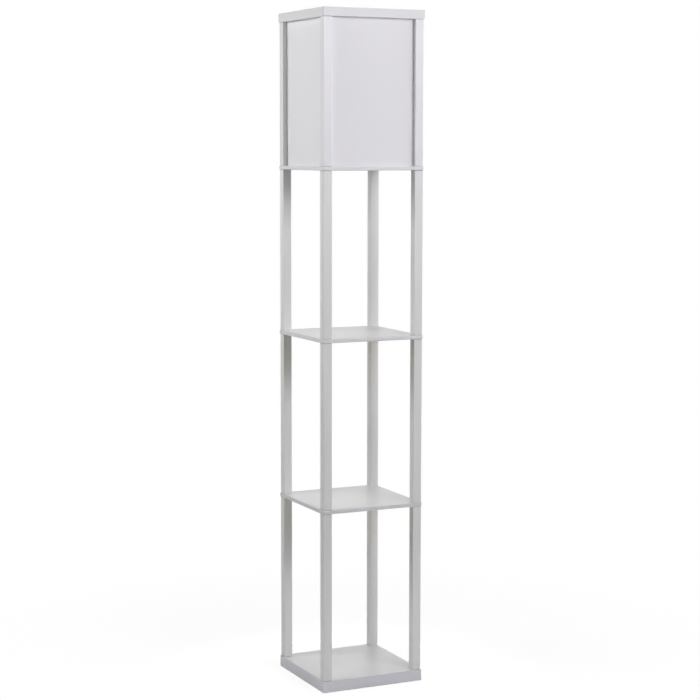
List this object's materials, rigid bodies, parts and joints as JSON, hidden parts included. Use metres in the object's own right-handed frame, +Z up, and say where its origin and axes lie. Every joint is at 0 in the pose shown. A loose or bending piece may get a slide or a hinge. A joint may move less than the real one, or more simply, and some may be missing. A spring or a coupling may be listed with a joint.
{
  "type": "shelf floor lamp",
  "caption": "Tall square floor lamp: slim corner posts carry open shelves and a closed box shade with an open top frame over a screw-in bulb.",
  "frame": {"origin": "centre of the square footprint, on the floor under the foot pads", "axes": "+Z up the lamp, -Y towards the front face, -X towards the left face"},
  "size_m": [0.26, 0.26, 1.6],
  "materials": {
    "board_laminate": "white melamine-faced board, satin",
    "post_lacquer": "white spray lacquer on square timber, satin",
    "frame_lacquer": "white spray lacquer on moulded board, satin",
    "shade_film": "matt white translucent lampshade laminate",
    "zinc_steel": "zinc plated",
    "felt": "pressed felt",
    "beech": "bare fluted beech",
    "bracket_paint": "white powder coat",
    "holder_plastic": "moulded phenolic, satin gloss",
    "porcelain": "unglazed porcelain",
    "brass": "pressed brass",
    "solder": "tin solder",
    "black_glass": "black vitrite",
    "cap_metal": "rolled thread, bright",
    "frosted_glass": "frosted",
    "lead_jacket": "white flexible jacket",
    "bush_plastic": "nylon"
  },
  "bodies": {
    "root": {"base_board": "board_laminate", "base_bolts": "zinc_steel", "base_washers": "zinc_steel", "bracket_screws": "zinc_steel", "centre_contact": "brass", "foot_pads": "felt", "frame_dowels": "beech", "holder_base": "holder_plastic", "holder_bracket": "bracket_paint", "holder_insulator": "porcelain", "holder_nipple": "zinc_steel", "holder_sleeve": "holder_plastic", "inner_lead": "lead_jacket", "lower_post_back_left": "post_lacquer", "lower_post_back_right": "post_lacquer", "lower_post_front_left": "post_lacquer", "lower_post_front_right": "post_lacquer", "lower_post_inserts": "zinc_steel", "lower_shelf": "board_laminate", "lower_shelf_studs": "zinc_steel", "middle_post_back_left": "post_lacquer", "middle_post_back_right": "post_lacquer", "middle_post_front_left": "post_lacquer", "middle_post_front_right": "post_lacquer", "middle_post_inserts": "zinc_steel", "nipple_nut": "zinc_steel", "outlet_bush": "bush_plastic", "outlet_nut": "bush_plastic", "platform_studs": "zinc_steel", "screw_shell": "brass", "shade_panel_back": "shade_film", "shade_panel_front": "shade_film", "shade_panel_left": "shade_film", "shade_panel_right": "shade_film", "shade_platform": "board_laminate", "shade_post_back_left": "post_lacquer", "shade_post_back_right": "post_lacquer", "shade_post_front_left": "post_lacquer", "shade_post_front_right": "post_lacquer", "shade_post_inserts": "zinc_steel", "terminal_screws": "zinc_steel", "top_rail_back": "frame_lacquer", "top_rail_front": "frame_lacquer", "top_rail_left": "frame_lacquer", "top_rail_right": "frame_lacquer", "upper_post_back_left": "post_lacquer", "upper_post_back_right": "post_lacquer", "upper_post_front_left": "post_lacquer", "upper_post_front_right": "post_lacquer", "upper_post_inserts": "zinc_steel", "upper_shelf": "board_laminate", "upper_shelf_studs": "zinc_steel"},
    "bulb": {"bulb_contact": "solder", "bulb_insulator": "black_glass", "bulb_cap": "cap_metal", "bulb_globe": "frosted_glass"}
  },
  "joints": [
    {"name": "bulb_unscrew", "type": "slide", "parent": "root", "child": "bulb", "axis": [0, 0, 1], "range_m": [0, 0.032]}
  ]
}
